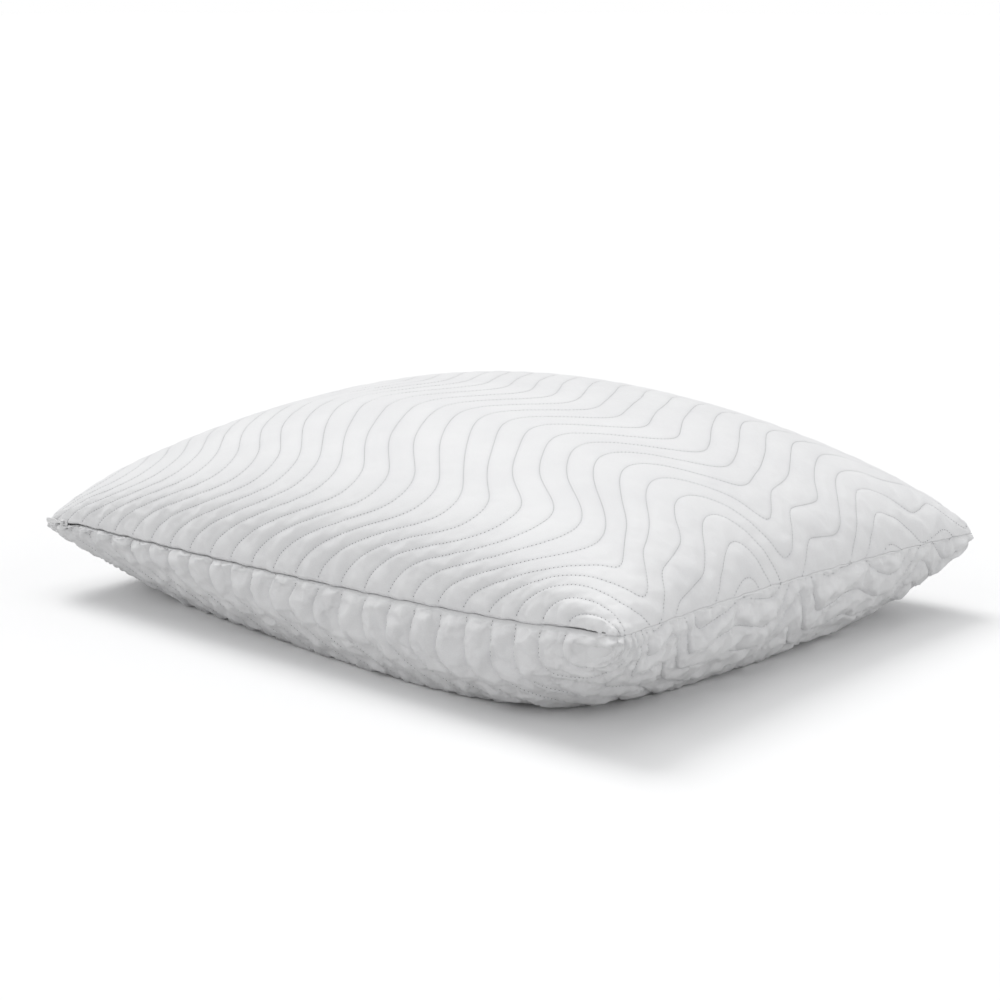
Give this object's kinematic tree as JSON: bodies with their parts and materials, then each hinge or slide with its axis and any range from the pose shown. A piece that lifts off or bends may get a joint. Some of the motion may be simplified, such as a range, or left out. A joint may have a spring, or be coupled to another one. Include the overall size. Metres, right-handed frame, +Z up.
{
  "type": "bed pillow",
  "caption": "Rectangular bed pillow with a wavy-quilted zip-off cover, a concealed zip along one long side, and a filled inner pillow.",
  "frame": {"origin": "middle of the bounding box, on the floor that the pillow lies on", "axes": "+X along the long sides, +Y from the zip side towards the sewn long side, +Z up"},
  "size_m": [0.6472, 0.5037, 0.2018],
  "materials": {
    "face_fabric": "fine white quilted microfibre, soft sheen",
    "wadding": "lofty polyester wadding",
    "backing": "thin non-woven backing",
    "thread": "white polyester thread",
    "zip_tape": "woven white tape",
    "zip_coil": "white nylon",
    "zip_metal": "white enamel",
    "case_fabric": "plain white woven cotton",
    "filling": "lofty fibre",
    "label": "blank white satin ribbon"
  },
  "bodies": {
    "pillow": {"top_face_fabric": "face_fabric", "top_wadding": "wadding", "top_backing": "backing", "bottom_face_fabric": "face_fabric", "bottom_wadding": "wadding", "bottom_backing": "backing", "cover_overlock": "thread", "zip_tape_upper": "zip_tape", "zip_tape_lower": "zip_tape", "zip_coil_upper": "zip_coil", "zip_coil_lower": "zip_coil", "zip_top_stop_upper": "zip_metal", "zip_top_stop_lower": "zip_metal", "zip_bottom_stop": "zip_metal", "care_label": "label", "inner_case_top": "case_fabric", "inner_case_bottom": "case_fabric", "inner_case_overlock": "thread", "filling": "filling"},
    "slider": {"zip_slider": "zip_metal"},
    "puller": {"zip_puller": "zip_metal"}
  },
  "joints": [
    {"name": "zip_slide", "type": "slide", "parent": "pillow", "child": "slider", "axis": [0.9994, 0, 0.0338], "range_m": [0, 0.591]},
    {"name": "puller_flip", "type": "hinge", "parent": "slider", "child": "puller", "pos_m": [-0.29581, -0.253, 0.07099], "axis": [-0.0338, 0, 0.9994], "range_deg": [0, 180]}
  ]
}
